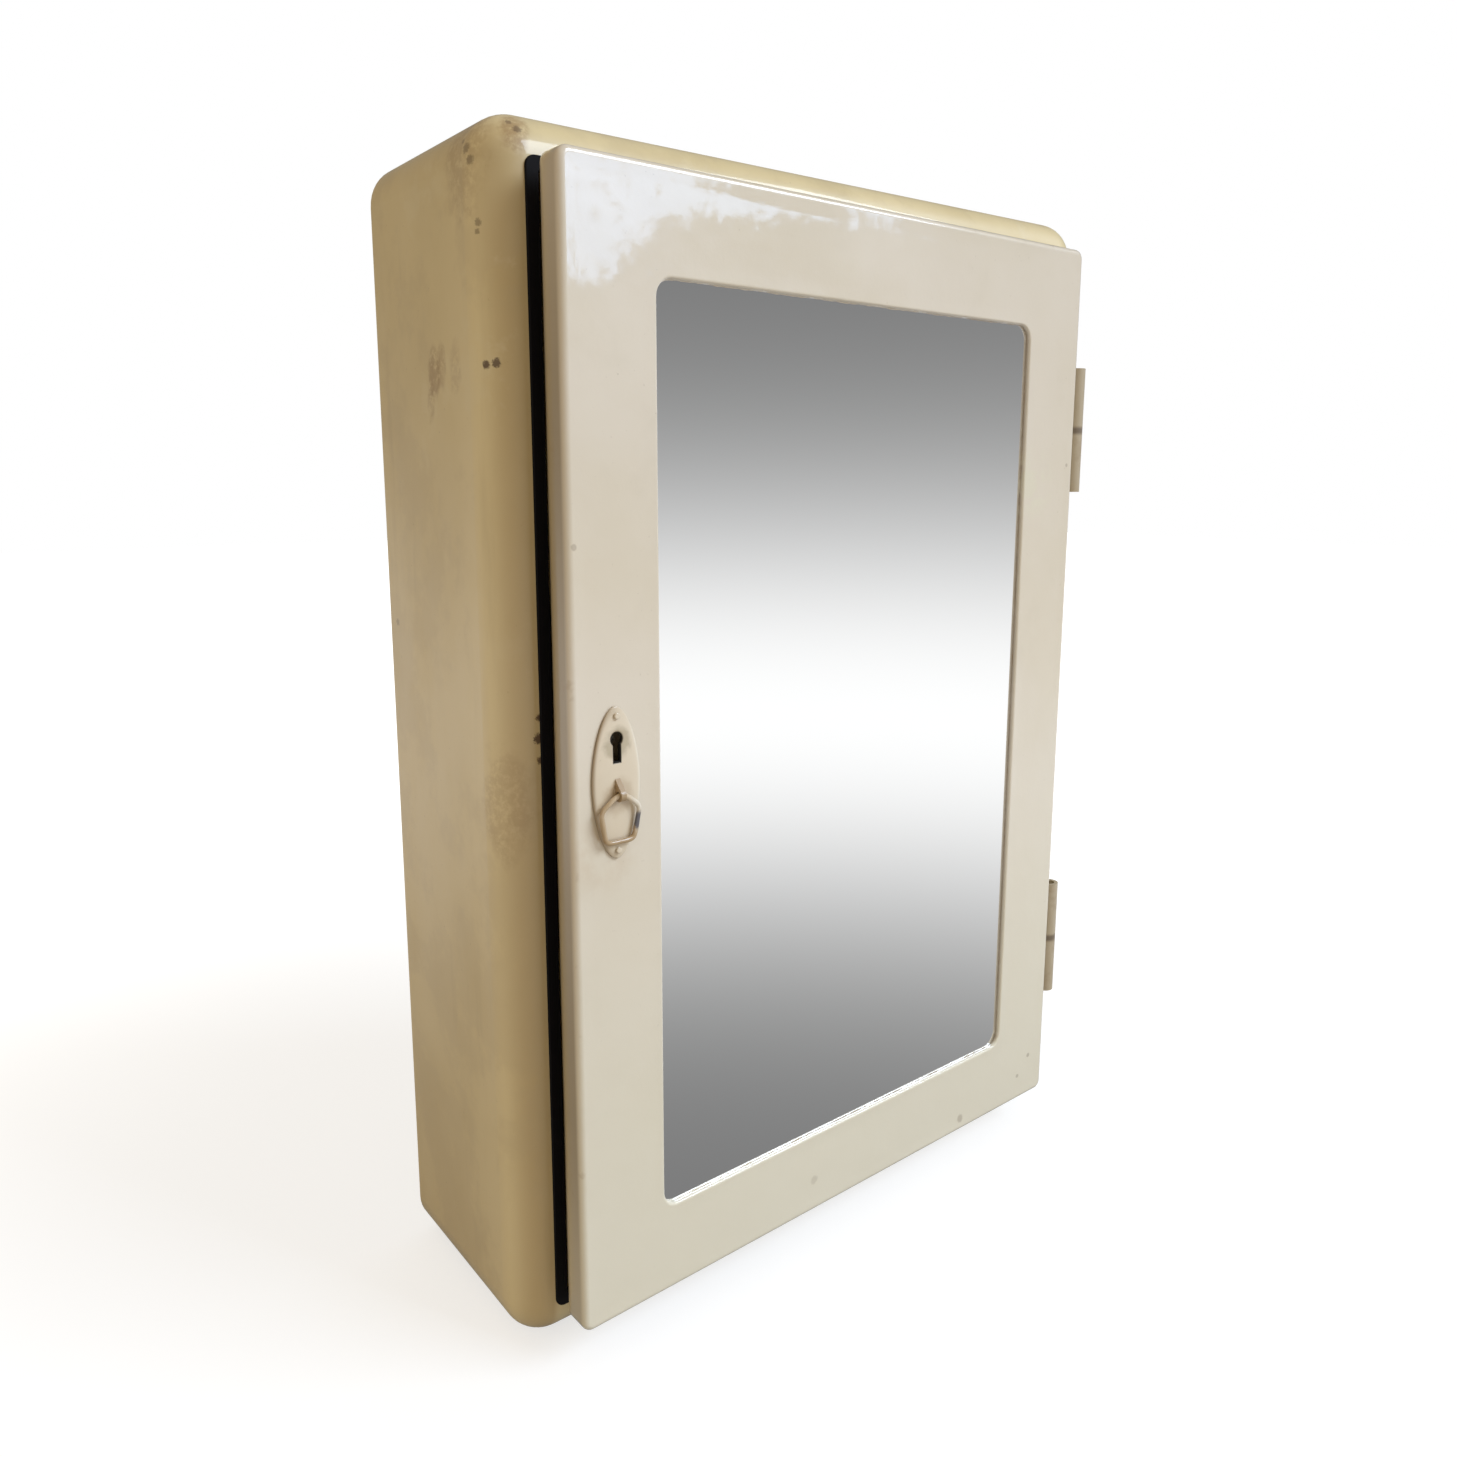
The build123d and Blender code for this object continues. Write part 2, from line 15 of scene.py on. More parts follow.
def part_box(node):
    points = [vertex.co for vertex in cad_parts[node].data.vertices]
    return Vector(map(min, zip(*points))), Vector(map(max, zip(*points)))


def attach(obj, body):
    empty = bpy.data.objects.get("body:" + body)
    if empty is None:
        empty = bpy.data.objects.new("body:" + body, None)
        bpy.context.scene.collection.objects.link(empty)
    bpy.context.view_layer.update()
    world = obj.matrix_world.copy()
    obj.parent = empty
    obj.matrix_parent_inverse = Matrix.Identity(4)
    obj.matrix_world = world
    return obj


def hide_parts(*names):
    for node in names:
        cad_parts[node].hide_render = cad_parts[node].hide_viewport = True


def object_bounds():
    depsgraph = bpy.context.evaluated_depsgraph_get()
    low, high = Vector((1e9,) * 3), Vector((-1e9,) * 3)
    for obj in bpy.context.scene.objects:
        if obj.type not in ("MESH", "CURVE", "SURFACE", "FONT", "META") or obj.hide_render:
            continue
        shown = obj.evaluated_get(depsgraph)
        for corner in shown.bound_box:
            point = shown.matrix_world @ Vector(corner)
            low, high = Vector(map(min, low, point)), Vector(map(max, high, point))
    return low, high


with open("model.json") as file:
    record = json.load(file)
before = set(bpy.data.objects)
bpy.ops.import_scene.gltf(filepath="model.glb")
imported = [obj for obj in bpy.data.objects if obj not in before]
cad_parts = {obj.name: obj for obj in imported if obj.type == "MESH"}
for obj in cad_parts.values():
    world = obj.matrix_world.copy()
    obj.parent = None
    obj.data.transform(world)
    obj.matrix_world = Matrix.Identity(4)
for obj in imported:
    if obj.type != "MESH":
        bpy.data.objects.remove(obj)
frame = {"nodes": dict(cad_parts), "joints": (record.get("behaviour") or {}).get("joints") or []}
nodes = frame["nodes"]
cad_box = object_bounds()
print("solids loaded:", len(nodes))

# %% [markdown]
# The camera stands left of the cabinet and looks down a little. Its place and lens come
# from lines through the corners of the door, the mirror and the case: where the eight
# corners of two rectangles of known shape lie in the picture, only one camera fits.

# %% Camera
PICTURE = 1457
FOCAL, MIDDLE_X, MIDDLE_Y = 1135.1, 702.1, 676.7
camera_data = bpy.data.cameras.new("camera")
camera_data.sensor_width = 36.0
camera_data.lens = 36.0 * FOCAL / PICTURE
camera_data.shift_x = (PICTURE / 2 - MIDDLE_X) / PICTURE
camera_data.shift_y = (MIDDLE_Y - PICTURE / 2) / PICTURE
camera_data.clip_start = 0.01
camera = bpy.data.objects.new("camera", camera_data)
bpy.context.scene.collection.objects.link(camera)
heading, pitch, roll = radians(36.84), radians(9.94), radians(-0.15)
camera.location = (-0.3550, -0.4758, 0.1142)
turn = Matrix.Rotation(-heading, 3, "Z") @ Matrix.Rotation(pi / 2 - pitch, 3, "X")
turn = turn @ Matrix.Rotation(roll, 3, "Z")
camera.rotation_euler = turn.to_euler()
bpy.context.scene.camera = camera
print("lens", round(camera_data.lens, 2), "mm")

# %% [markdown]
# The door hangs 1.6 degrees open about its hinge pins. Patterns on the door and new
# pieces for it are easier to think of on a closed door, so two helpers carry points
# from the closed door to the hung one, and the sizes of the door are read from CAD.

# %% The hung door
AJAR = radians(1.6)
hinge = next(j for j in frame["joints"] if j["name"] == "door_swing")["pos_m"]
DOOR_FRONT, DOOR_DEPTH = -0.1163, 0.0120


def hung(points):
    """Closed-door points (..., 3) turned about the hinge: x' = x cos a - y sin a, y' = x sin a + y cos a."""
    x, y, z = np.moveaxis(np.asarray(points, float), -1, 0)
    x, y = x - hinge[0], y - hinge[1]
    turned = x * cos(AJAR) - y * sin(AJAR) + hinge[0], x * sin(AJAR) + y * cos(AJAR) + hinge[1], z
    return np.stack(np.broadcast_arrays(*turned), -1)


low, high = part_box("door_pan")
HALF_W = ((high.x - low.x) - DOOR_DEPTH * sin(AJAR)) / cos(AJAR) / 2
HALF_H = (high.z - low.z) / 2
print("door", round(2000 * HALF_W, 1), "by", round(2000 * HALF_H, 1), "mm")

# %% [markdown]
# A finish is a small graph of shader nodes. Written as plain arithmetic it reads like a
# recipe, so one class wraps a socket and turns + - * / into Math nodes, and another
# keeps the material, with one method that makes any node.


# %% Shader arithmetic
class Line:
    """A socket that can be added, scaled and compared."""

    def __init__(self, finish, socket):
        self.finish, self.socket = finish, socket

    def do(self, operation, *others):
        return self.finish.node("ShaderNodeMath", {"operation": operation}, *others)

    def __add__(self, other):
        return self.do("ADD", self, other)

    def __sub__(self, other):
        return self.do("SUBTRACT", self, other)

    def __rsub__(self, other):
        return self.do("SUBTRACT", other, self)

    def __mul__(self, other):
        return self.do("MULTIPLY", self, other)

    def __truediv__(self, other):
        return self.do("DIVIDE", self, other)

    __radd__, __rmul__ = __add__, __mul__

    def __abs__(self):
        return self.do("ABSOLUTE", self)

    def least(self, other):
        return self.do("MINIMUM", self, other)

    def most(self, other):
        return self.do("MAXIMUM", self, other)


class Finish:
    """A material under construction."""

    def __init__(self, name, tree=None):
        if tree is None:
            self.material = bpy.data.materials.new(name)
            self.material.use_nodes = True
            tree = self.material.node_tree
            self.shader = tree.nodes["Principled BSDF"]
        self.tree = tree

    def node(self, kind, settings, *inputs, out=0):
        """Adds a node, sets its settings first, then its sockets by order or by (name, value) pairs."""
        made = self.tree.nodes.new(kind)
        for key, value in settings.items():
            setattr(made, key, value)
        for index, value in enumerate(inputs):
            if isinstance(value, tuple) and isinstance(value[0], (str, int)) and len(value) == 2:
                index, value = value
            self.feed(made.inputs[index], value)
        return Line(self, made.outputs[out])

    def feed(self, socket, value):
        if isinstance(value, Line):
            self.tree.links.new(value.socket, socket)
        elif value is not None:
            if isinstance(value, (tuple, list)) and len(value) == 3 and socket.type == "RGBA":
                value = (*value, 1.0)
            socket.default_value = value

    def set(self, **sockets):
        for name, value in sockets.items():
            self.feed(self.shader.inputs[name.replace("_", " ")], value)
        return self

    def axes(self, vector):
        parts = self.node("ShaderNodeSeparateXYZ", {}, vector)
        return [Line(self, s) for s in parts.socket.node.outputs]

    def object_place(self):
        return self.node("ShaderNodeTexCoord", {}, out=3)

    def noise(self, place, scale, detail=3.0, rough=0.5, stretch=None):
        if stretch:
            place = self.node("ShaderNodeMapping", {}, place, ("Scale", stretch))
        return self.node("ShaderNodeTexNoise", {}, ("Vector", place), ("Scale", scale),
                         ("Detail", detail), ("Roughness", rough))

    def ramp(self, value, start, stop):
        """0 below start, 1 above stop, smooth between; falls instead when start is above stop."""
        return self.node("ShaderNodeMapRange", {"interpolation_type": "SMOOTHSTEP"}, value, start, stop)

    def mix(self, mask, first, second):
        return self.node("ShaderNodeMix", {"data_type": "RGBA", "clamp_factor": True},
                         (0, mask), (6, first), (7, second), out=2)

    def bump(self, height, depth, normal=None):
        return self.node("ShaderNodeBump", {}, ("Strength", 1.0), ("Distance", depth),
                         ("Height", height), ("Normal", normal))

    def spot(self, place, centre, radius, ragged=None):
        """1 inside a ball of the radius, fading out over its outer half; ragged noise moves its rim."""
        away = self.node("ShaderNodeVectorMath", {"operation": "DISTANCE"}, place, centre, out=1)
        if ragged is not None:
            away = away + (ragged - 0.5) * radius
        return self.ramp(away, radius, radius * 0.5)


# %% [markdown]
# Old enamel isn't one colour. It yellows in clouds, keeps tiny specks, and its gloss wavers
# because it was laid on by hand over pressed sheet. The same recipe serves the case and the
# door, with other tones and other marks; the shade in their corners is painted shade, laid
# into the colour. A pattern on the door is worked out on the closed door, so its edges run
# along the steel.


# %% Enamel
CREAM = (0.705, 0.632, 0.520)
CREAM_AGED = (0.665, 0.588, 0.455)
# The case and the door wear one paint, but the case's two tones are made yellower: painted warm light from
# the left side of the room.
CASE_CREAM_WARM_LIT = (0.710, 0.595, 0.345)
CASE_AGED_WARM_LIT = (0.640, 0.525, 0.285)
GRIME = (0.180, 0.110, 0.050)


def enamel(name, tone, aged, gloss=0.32, coat=1.0, peel=1.0):
    """Clouded enamel with specks under a wavering gloss; returns the finish, its place and its colour."""
    paint = Finish(name)
    place = paint.object_place()
    cloud = paint.noise(place, 9.0, 4.0, 0.55)
    drift = paint.noise(place, 38.0, 3.0, 0.6)
    fleck = paint.noise(place, 520.0, 2.0, 0.6)
    colour = paint.mix(paint.ramp(cloud, 0.35, 0.72), tone, aged)
    colour = paint.mix(paint.ramp(drift, 0.55, 0.85) * 0.30, colour, tuple(c * 0.88 for c in aged))
    colour = paint.mix(paint.ramp(fleck, 0.70, 0.80) * 0.20, colour, GRIME)
    smear = paint.noise(place, 26.0, 5.0, 0.65, stretch=(1.0, 1.0, 0.35))
    paint.set(Roughness=gloss + paint.ramp(smear, 0.40, 0.80) * 0.16)
    waves = paint.bump(cloud + paint.noise(place, 24.0, 2.0) * 0.8, 0.0009 * peel)
    peelings = paint.bump(paint.noise(place, 150.0, 3.0, 0.6), 0.00007 * peel, waves)
    paint.set(Normal=paint.bump(fleck, 0.00001 * peel, peelings), Coat_Weight=coat, Coat_Roughness=0.03)
    return paint, place, colour


def dress(paint, *names):
    """Gives CAD nodes a finish."""
    for name in names:
        data = nodes[name].data
        data.materials.clear()
        data.materials.append(paint.material)


# %% [markdown]
# The case: its left side carries the marks of a life in a bathroom. Two dark pinholes
# sit near the roll, a rusty smudge runs down where something leaned, dirt lies in the
# top corner, and the roll is chipped where the bolt has been missing its hole.

# %% Case paint
case_paint, place, colour = enamel("case_enamel", CASE_CREAM_WARM_LIT, CASE_AGED_WARM_LIT, 0.42, 0.45)
x, y, z = case_paint.axes(place)
rag = case_paint.noise(place, 300.0, 4.0, 0.7)
case_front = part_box("case_shell")[0].y
left_roll = case_paint.ramp(x, -0.1500, -0.1540)
# Painted shade: the case's roll turns brown next to the gap, where the door shades it.
gap_shade = case_paint.ramp(y, case_front + 0.0110, case_front + 0.0010) * left_roll
# Painted highlight: the left side is painted lighter towards its front roll, for the soft band of light
# there.
side_front_highlight = case_paint.ramp(y, -0.060, -0.096) * left_roll * (1 - gap_shade)
colour = case_paint.mix(side_front_highlight * 0.45, colour, (0.820, 0.700, 0.430))
colour = case_paint.mix(gap_shade * 0.50, colour, (0.42, 0.28, 0.11))
stains = case_paint.ramp(case_paint.noise(place, 17.0, 6.0, 0.62), 0.46, 0.56)
colour = case_paint.mix(stains * 0.22, colour, (0.500, 0.400, 0.240))
# Lighter clouds in the paint, kept to the upper part of the case: a mottled tone, and painted light for the
# brighter top of the side.
mottle_and_top_light = case_paint.ramp(case_paint.noise(place, 30.0, 5.0, 0.66), 0.56, 0.66)
mottle_and_top_light = mottle_and_top_light * case_paint.ramp(z, -0.02, 0.20)
colour = case_paint.mix(mottle_and_top_light * 0.30, colour, (0.740, 0.650, 0.430))
streaks = case_paint.noise(place, 60.0, 4.0, 0.6, stretch=(1.0, 1.0, 0.12))
colour = case_paint.mix(case_paint.ramp(streaks, 0.55, 0.80) * 0.16, colour, GRIME)
soft = case_paint.noise(place, 90.0, 3.0, 0.6)
smears = [((-0.1685, -0.0560, 0.1535), 0.0065, 0.55), ((-0.1685, -0.0635, 0.1560), 0.0050, 0.35),
          ((-0.1685, -0.0753, 0.1551), 0.0060, 0.22), ((-0.1685, -0.0530, 0.1430), 0.0045, 0.35),
          ((-0.1660, -0.0850, 0.2300), 0.0160, 0.30), ((-0.1647, -0.0973, -0.0080), 0.0140, 0.28),
          ((-0.1540, -0.0990, 0.2345), 0.0070, 0.55)]
long_place = case_paint.node("ShaderNodeMapping", {}, place, ("Scale", (1.0, 1.0, 0.5)))
for (cx, cy, cz), radius, strength in smears:
    mark = case_paint.spot(long_place, (cx, cy, cz / 2), radius, soft) * case_paint.ramp(rag, 0.30, 0.60)
    colour = case_paint.mix(mark * strength, colour, (0.30, 0.17, 0.065))
marks = [((-0.1660, -0.0956, 0.1540), 0.0021, 0.90), ((-0.1634, -0.0987, 0.1546), 0.0023, 0.85),
         ((-0.1666, -0.0944, 0.2024), 0.0019, 0.50), ((-0.1668, -0.0940, 0.1995), 0.0015, 0.50),
         ((-0.1678, -0.0895, 0.2276), 0.0026, 0.45), ((-0.1677, -0.0920, 0.2232), 0.0024, 0.50),
         ((-0.1675, -0.0860, 0.2310), 0.0017, 0.40), ((-0.1535, -0.1005, 0.2337), 0.0022, 0.60),
         ((-0.1556, -0.0979, 0.2362), 0.0017, 0.50), ((-0.1527, -0.1030, 0.0250), 0.0020, 0.95),
         ((-0.1532, -0.1030, 0.0170), 0.0027, 0.95), ((-0.1527, -0.1030, 0.0085), 0.0020, 0.90),
         ((-0.1685, -0.0084, 0.0533), 0.0022, 0.35)]
fine_rag = case_paint.noise(place, 1100.0, 3.0, 0.7) * 1.6 - 0.3
MARK_SCALE = 0.90
dark = None
for centre, radius, strength in marks:
    mark = case_paint.spot(place, centre, radius * MARK_SCALE, fine_rag) * strength
    dark = mark if dark is None else dark.most(mark)
colour = case_paint.mix(dark, colour, (0.100, 0.055, 0.026))
case_paint.set(Base_Color=colour)
dress(case_paint, "case_shell", "back_panel", "lower_shelf", "upper_shelf",
      "lower_shelf_brackets", "upper_shelf_brackets")
print("case marks", len(marks))

# %% [markdown]
# The door: one paint for the pan, the inner pan and its posts. Seen on the
# closed door, u runs along its width and v through its depth, so the flange, the rim of
# the window and the outer edge each become a simple distance.

# %% Door paint
door_paint, place, colour = enamel("door_enamel", CREAM, CREAM_AGED)


def closed(finish, place):
    """u, v, z of a point on the closed door, from its place on the hung one."""
    x, y, z = finish.axes(place)
    x, y = x - hinge[0], y - hinge[1]
    u = x * cos(AJAR) + y * sin(AJAR) + hinge[0]
    v = y * cos(AJAR) - x * sin(AJAR) + hinge[1]
    return u, v, z


u, v, z = closed(door_paint, place)
WINDOW_HALF = (0.2225 / 2, 0.3715 / 2)
GLASS_HALF = (0.11825, 0.19275)
rag = door_paint.noise(place, 260.0, 4.0, 0.7)
rim = (abs(u) - WINDOW_HALF[0]).most(abs(z) - WINDOW_HALF[1])
edge = (HALF_W - abs(u)).least(HALF_H - abs(z))
# The door is lighter and yellower towards the bottom: partly a tone of the paint, partly painted light for
# its more brightly lit lower part.
lower = door_paint.ramp(z, 0.05, -0.22)
colour = door_paint.mix(lower * 0.80, colour, (0.765, 0.722, 0.582))
# Painted shade: the door's left flange is painted dark brown, darkest at half height, for the shade beside
# the case's roll.
flange = door_paint.ramp(v, DOOR_FRONT + 0.0008, DOOR_FRONT + 0.0035) * door_paint.ramp(u, -0.1480, -0.1505)
middle = door_paint.ramp(abs(z), 0.240, 0.120)
colour = door_paint.mix(flange * (0.32 + middle * 0.44), colour, (0.255, 0.180, 0.068))
# Painted shade: the window's inner wall on its right and upper side is painted brown, for the shade that
# falls there.
wall = door_paint.ramp(v, DOOR_FRONT + 0.0006, DOOR_FRONT + 0.0022) * door_paint.ramp(rim, 0.0030, 0.0012)
wall = wall * door_paint.ramp(u - z * 0.3, -0.06, 0.06)
colour = door_paint.mix(wall * (0.35 + rag * 0.55), colour, (0.270, 0.185, 0.100))
patches = door_paint.ramp(door_paint.noise(place, 46.0, 4.0, 0.7), 0.60, 0.70)
worn = door_paint.ramp(edge, 0.0030, 0.0004) * patches
colour = door_paint.mix(worn * 0.40, colour, (0.34, 0.24, 0.13))
faint = door_paint.noise(place, 70.0, 3.0, 0.65)
marks = [((0.1388, DOOR_FRONT, -0.2014), 0.0016, 0.40), ((0.1296, DOOR_FRONT, -0.2108), 0.0014, 0.35),
         ((0.0812, DOOR_FRONT, -0.2177), 0.0030, 0.35), ((-0.1490, DOOR_FRONT, 0.0900), 0.0014, 0.35),
         ((-0.0250, DOOR_FRONT, -0.2090), 0.0026, 0.20), ((0.1462, DOOR_FRONT, 0.1200), 0.0012, 0.35)]
for centre, radius, strength in marks:
    mark = door_paint.spot(place, tuple(hung(centre)), radius, rag) * strength
    colour = door_paint.mix(mark, colour, GRIME)
soiled = door_paint.spot(place, tuple(hung((-0.139, DOOR_FRONT, -0.026))), 0.0200, faint)
colour = door_paint.mix(soiled * door_paint.ramp(faint, 0.35, 0.65) * 0.18, colour, (0.50, 0.32, 0.17))
pale = door_paint.spot(place, tuple(hung((0.118, DOOR_FRONT, 0.111))), 0.0220, faint)
colour = door_paint.mix(pale * door_paint.ramp(faint, 0.42, 0.60) * 0.55, colour, (0.700, 0.660, 0.500))
door_paint.set(Base_Color=colour)
dress(door_paint, "door_pan", "door_inner_pan", "inner_pan_posts")

# %% [markdown]
# The plate and the ring have been painted over more than once. Paint is thick in their
# corners, the keyhole is ringed with grime and painted shade, and one side of the ring is
# rubbed through to dark steel where a thumb takes it. Their shaded sides, and the plate
# behind the ring, carry painted shade, and their lit sides a painted highlight.

# %% Plate and ring paint
PLATE_CREAM, PLATE_AGED = (0.700, 0.605, 0.460), (0.660, 0.555, 0.400)
plate_paint, place, colour = enamel("plate_enamel", PLATE_CREAM, PLATE_AGED, 0.30, 1.0, 0.6)
u, v, z = closed(plate_paint, place)
KEY_X, KEY_Z, PLATE_Z = -0.1330, 0.0182, 0.0010
PLATE_W, PLATE_H = 0.0108, 0.0295
PLATE_TOP = DOOR_FRONT - 0.0016
HEAD_R, SLOT_W, SLOT_L = 0.0027, 0.0016, 0.0087
across, up = (u - KEY_X) / PLATE_W, (z - PLATE_Z) / PLATE_H
reach = across * across + up * up
# Painted shade on the plate's left rim, and a painted highlight on its right rim.
left_rim_shade = plate_paint.ramp(reach, 0.72, 0.98) * plate_paint.ramp(across, 0.3, -0.8)
colour = plate_paint.mix(left_rim_shade * 0.80, colour, (0.30, 0.20, 0.10))
right_rim_highlight = plate_paint.ramp(reach, 0.70, 0.90) * plate_paint.ramp(across, 0.3, 0.8)
colour = plate_paint.mix(right_rim_highlight * 0.5, colour, (0.76, 0.70, 0.58))
cloud = plate_paint.noise(place, 160.0, 3.0, 0.6)
# Brown round the keyhole: grime, and painted shade round the hole.
hole = plate_paint.spot(place, tuple(hung((KEY_X, PLATE_TOP, KEY_Z - 0.002))), 0.0075, cloud)
colour = plate_paint.mix(hole * 0.55, colour, (0.30, 0.24, 0.13))
# Painted shade: the rim of the keyhole and its slot are painted black, rough and without coat, for the dark
# of the hole.
squared = (u - KEY_X) * (u - KEY_X) + (z - KEY_Z) * (z - KEY_Z)
to_head = squared.do("SQRT", squared)
in_head = plate_paint.ramp(to_head, HEAD_R + 0.0005, HEAD_R - 0.0001)
in_slot = plate_paint.ramp(abs(u - KEY_X), SLOT_W + 0.0006, SLOT_W + 0.0001)
in_slot = in_slot * plate_paint.ramp(abs(z - KEY_Z + SLOT_L / 2), SLOT_L / 2 + 0.0009, SLOT_L / 2 + 0.0004)
keyhole_shade = in_head.most(in_slot)
colour = plate_paint.mix(keyhole_shade, colour, (0.012, 0.009, 0.007))
plate_paint.set(Coat_Weight=1.0 - keyhole_shade, Roughness=keyhole_shade.most(0.34))
# Painted shade: the plate is painted brown behind the hanging ring.
below = plate_paint.spot(place, tuple(hung((KEY_X, PLATE_TOP, -0.0040))), 0.0090, cloud)
colour = plate_paint.mix(below * 0.35, colour, (0.42, 0.29, 0.15))
plate_paint.set(Base_Color=colour)
dress(plate_paint, "escutcheon_rivets")

# Painted shade: the ring's eye gets a brown enamel for the shade it stands in.
eye_shade_paint, place, colour = enamel("eye_enamel_painted_shade", (0.430, 0.310, 0.180), (0.330, 0.220, 0.110), 0.40, 0.4, 0.6)
eye_shade_paint.set(Base_Color=colour)
dress(eye_shade_paint, "ring_eye")

RING_CREAM, RING_AGED = (0.660, 0.545, 0.385), (0.540, 0.400, 0.240)
ring_paint, place, colour = enamel("ring_enamel", RING_CREAM, RING_AGED, 0.35, 0.7, 0.6)
u, v, z = closed(ring_paint, place)
# Painted shade: the ring's back towards the plate, its left side and its lower bar are painted brown.
inside = ring_paint.ramp(v, DOOR_FRONT - 0.0042, DOOR_FRONT - 0.0028)
left_side = ring_paint.ramp(u, KEY_X - 0.0010, KEY_X - 0.0070)
low_bar = ring_paint.ramp(z, -0.0170, -0.0200)
ring_shade = inside.most(left_side * 0.65).most(low_bar * 0.85)
colour = ring_paint.mix(ring_shade * 0.85, colour, (0.340, 0.215, 0.090))
rag = ring_paint.noise(place, 420.0, 4.0, 0.75)
thumb = ring_paint.spot(place, tuple(hung((KEY_X + 0.0084, DOOR_FRONT - 0.0040, -0.0142))), 0.0044, rag)
bare = thumb * ring_paint.ramp(rag, 0.25, 0.42)
lit_side = ring_paint.ramp(u, KEY_X + 0.0020, KEY_X + 0.0070) * ring_paint.ramp(z, -0.0130, -0.0090)
colour = ring_paint.mix(lit_side * 0.75, colour, (0.74, 0.69, 0.58))
colour = ring_paint.mix(bare * 0.92, colour, (0.085, 0.085, 0.105))
ring_paint.set(Base_Color=colour, Metallic=bare * 0.4)

# %% [markdown]
# The hinges are painted with the rest of the cabinet, but stand in the shade of the case,
# so their enamel here is a brown tan: painted shade. The joint between the knuckles is darker still.

# %% Hinge paint
# Painted shade: both hinge tones are the cabinet's cream as it looks in shade.
HINGE_SHADED_TAN, HINGE_SHADED_AGED = (0.480, 0.405, 0.285), (0.380, 0.300, 0.185)
hinge_shade_paint, place, colour = enamel("hinge_enamel_painted_shade", HINGE_SHADED_TAN, HINGE_SHADED_AGED, 0.40, 0.4, 0.6)
x, y, z = hinge_shade_paint.axes(place)
joint = hinge_shade_paint.ramp(abs(abs(z) - 0.1375), 0.0028, 0.0006)
colour = hinge_shade_paint.mix(joint * 0.75, colour, (0.090, 0.055, 0.030))
rubbed = hinge_shade_paint.ramp(hinge_shade_paint.noise(place, 110.0, 3.0, 0.6), 0.50, 0.72)
colour = hinge_shade_paint.mix(rubbed * 0.40, colour, (0.30, 0.21, 0.12))
hinge_shade_paint.set(Base_Color=colour)
dress(hinge_shade_paint, *[f"{level}_hinge_{part}" for level in ("lower", "upper")
                     for part in ("case_leaf", "door_leaf", "washer")])

# %% [markdown]
# Black rubber lines the lip of the case. It is matt, faintly dusty, and swallows nearly
# all the light in the gap, which is why the gap looks like a drawn line.

# %% Rubber
rubber = Finish("edging_rubber")
place = rubber.object_place()
dust = rubber.ramp(rubber.noise(place, 180.0, 4.0, 0.7), 0.62, 0.85)
rubber.set(Base_Color=rubber.mix(dust * 0.20, (0.006, 0.005, 0.006), (0.040, 0.032, 0.025)),
           Specular_IOR_Level=0.15, Roughness=0.70 + dust * 0.2,
           Normal=rubber.bump(rubber.noise(place, 800.0, 2.0), 0.00005))
dress(rubber, "door_edging")

# %% [markdown]
# The mirror is silvered glass: nearly all of its look is what it reflects. A trace of
# film makes the reflection a little softer in places, and the silver has gone brown in
# freckles along its edge, most of it behind the frame.

# %% Mirror, backing and metals
mirror = Finish("silvered_glass")
place = mirror.object_place()
u, v, z = closed(mirror, place)
border = (GLASS_HALF[0] - abs(u)).least(GLASS_HALF[1] - abs(z))
freckles = mirror.ramp(border, 0.0085, 0.0010) * mirror.ramp(mirror.noise(place, 420.0, 3.0, 0.7), 0.58, 0.70)
film = mirror.ramp(mirror.noise(place, 14.0, 4.0, 0.6), 0.45, 0.80)
mirror.set(Base_Color=mirror.mix(freckles * 0.8, (0.985, 0.99, 0.99), (0.20, 0.14, 0.09)), Metallic=1.0,
           Roughness=0.004 + film * 0.010 + freckles * 0.3)
dress(mirror, "mirror_glass")

board = Finish("hardboard")
place = board.object_place()
fibre = board.noise(place, 240.0, 5.0, 0.7, stretch=(1.0, 1.0, 0.3))
board.set(Base_Color=board.mix(board.ramp(fibre, 0.3, 0.7), (0.17, 0.095, 0.045), (0.27, 0.165, 0.085)),
          Roughness=0.75, Normal=board.bump(fibre, 0.0001))
dress(board, "mirror_backing")


def metal(name, tone, tarnish, rough, *names):
    """Plated or blued metal: fine streaks of rolling and clouds of tarnish."""
    finish = Finish(name)
    place = finish.object_place()
    stain = finish.ramp(finish.noise(place, 120.0, 4.0, 0.65), 0.42, 0.72)
    streak = finish.noise(place, 900.0, 2.0, 0.6, stretch=(1.0, 1.0, 0.1))
    finish.set(Base_Color=finish.mix(stain, tone, tarnish), Metallic=1.0 - stain * 0.35,
               Roughness=rough + stain * 0.25 + (streak - 0.5) * 0.12, Normal=finish.bump(streak, 0.00002))
    dress(finish, *names)


metal("plated_steel", (0.55, 0.54, 0.50), (0.26, 0.22, 0.16), 0.30, "inner_pan_screws", "lock_case",
      "lock_cover", "lock_screws", "lower_hinge_pin", "upper_hinge_pin")
metal("spring_steel", (0.24, 0.25, 0.28), (0.13, 0.10, 0.08), 0.35, "mirror_clips", "lock_spring")
metal("brass", (0.62, 0.44, 0.18), (0.30, 0.20, 0.09), 0.28, "lock_bolt")

# %% [markdown]
# CAD bends the ring from perfect round wire. The real one is flatter where it was
# squeezed, thick with paint at its corners and not quite even, so it is made again here
# as a tube: its centre line is a function of one parameter and its section of another.


